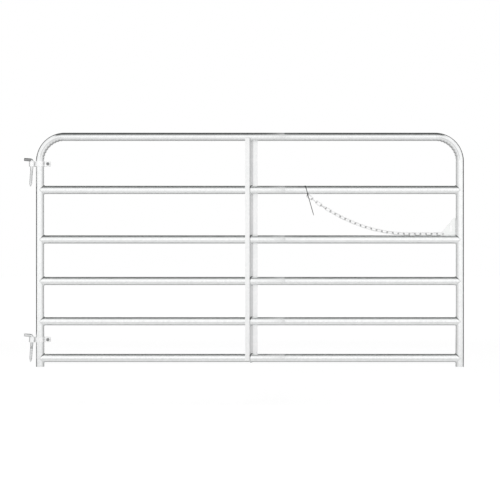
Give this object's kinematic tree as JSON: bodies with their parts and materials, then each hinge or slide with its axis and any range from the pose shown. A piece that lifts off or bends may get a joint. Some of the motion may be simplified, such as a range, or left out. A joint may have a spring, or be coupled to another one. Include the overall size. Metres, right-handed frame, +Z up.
{
  "type": "field gate",
  "caption": "Tubular steel field gate: bent outer tube, coped rails and a Z brace, hung by bolted strap hinges on loose screw hooks, with a latch chain tied up to a rail.",
  "frame": {"origin": "on the hinge line, at the height where the thread of the lower screw hook starts", "axes": "+X from the hinge side to the latch side, +Y to the back, +Z up along the hinge line"},
  "size_m": [2.3795, 0.0548, 1.266],
  "materials": {
    "galvanised_tube": "bright galvanised, faint spangle",
    "galvanised_sheet": "galvanised sheet, satin",
    "galvanised_strap": "hot-dip galvanised bar, satin",
    "zinc_fasteners": "bright zinc plate",
    "galvanised_hooks": "hot-dip galvanised rod",
    "zinc_chain": "bright zinc plate",
    "black_nylon": "moulded nylon"
  },
  "bodies": {
    "lower_hook": {"lower_screw_hook": "galvanised_hooks"},
    "gate": {"outer_frame_tube": "galvanised_tube", "bottom_rail": "galvanised_tube", "second_rail": "galvanised_tube", "third_rail": "galvanised_tube", "fourth_rail": "galvanised_tube", "fifth_rail": "galvanised_tube", "z_brace": "galvanised_sheet", "chain_gusset": "galvanised_sheet", "upper_hinge_strap": "galvanised_strap", "upper_hinge_bolt": "zinc_fasteners", "upper_hinge_washer": "zinc_fasteners", "upper_hinge_nut": "zinc_fasteners", "lower_hinge_strap": "galvanised_strap", "lower_hinge_bolt": "zinc_fasteners", "lower_hinge_washer": "zinc_fasteners", "lower_hinge_nut": "zinc_fasteners", "cable_tie": "black_nylon", "chain_link_01": "zinc_chain", "chain_link_02": "zinc_chain", "chain_link_03": "zinc_chain", "chain_link_04": "zinc_chain", "chain_link_05": "zinc_chain", "chain_link_06": "zinc_chain", "chain_link_07": "zinc_chain", "chain_link_08": "zinc_chain", "chain_link_09": "zinc_chain", "chain_link_10": "zinc_chain", "chain_link_26": "zinc_chain"},
    "upper_hook": {"upper_screw_hook": "galvanised_hooks"},
    "chain": {"chain_link_11": "zinc_chain", "chain_link_12": "zinc_chain", "chain_link_13": "zinc_chain", "chain_link_14": "zinc_chain", "chain_link_15": "zinc_chain", "chain_link_16": "zinc_chain", "chain_link_17": "zinc_chain", "chain_link_18": "zinc_chain", "chain_link_19": "zinc_chain", "chain_link_20": "zinc_chain", "chain_link_21": "zinc_chain", "chain_link_22": "zinc_chain", "chain_link_23": "zinc_chain", "chain_link_24": "zinc_chain", "chain_link_25": "zinc_chain"}
  },
  "joints": [
    {"name": "gate_swing", "type": "hinge", "parent": "lower_hook", "child": "gate", "pos_m": [0, 0, 0], "axis": [0, 0, 1], "range_deg": [-90, 90]},
    {"name": "upper_hook_swivel", "type": "hinge", "parent": "gate", "child": "upper_hook", "pos_m": [0, 0, 0.98575], "axis": [0, 0, 1], "range_deg": [-90, 90]},
    {"name": "chain_sway", "type": "hinge", "parent": "gate", "child": "chain", "pos_m": [1.92304, 0, 0.61693], "axis": [-0.9142, 0, 0.4053], "range_deg": [-20, 20]}
  ],
  "couplings": [
    {"joint": "upper_hook_swivel", "follows": "gate_swing", "ratio": -1}
  ]
}
